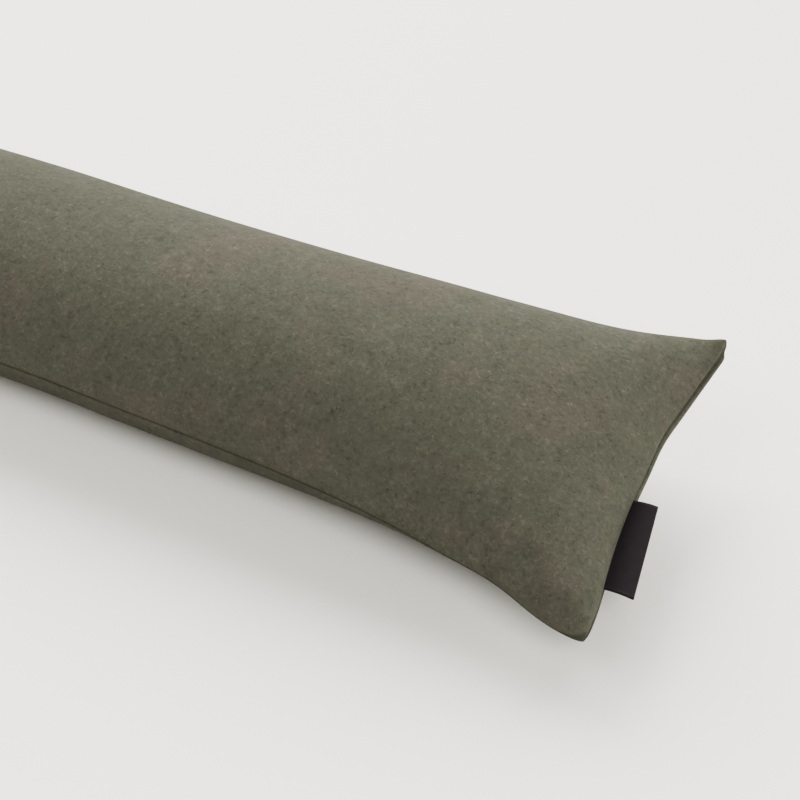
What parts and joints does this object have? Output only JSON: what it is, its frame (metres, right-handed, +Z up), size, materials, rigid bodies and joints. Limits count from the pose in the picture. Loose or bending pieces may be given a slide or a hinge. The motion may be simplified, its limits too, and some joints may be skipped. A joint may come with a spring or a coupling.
{
  "type": "draught excluder",
  "caption": "Long filled cloth cushion with drawn-in ends, flared corners and a folded ribbon label, laid along the foot of a door to stop draughts.",
  "frame": {"origin": "in the flat patch of the underside that the cushion rests on, under the middle of its length", "axes": "+X along the cushion towards the end with the label, +Y towards its back seam, +Z up"},
  "size_m": [0.8911, 0.1842, 0.0888],
  "materials": {
    "cloth": "thick felted melange cloth, olive grey, matt",
    "ribbon": "closely woven ribbon, near black, slight satin sheen"
  },
  "bodies": {
    "root": {"cushion": "cloth", "label": "ribbon"}
  },
  "joints": []
}
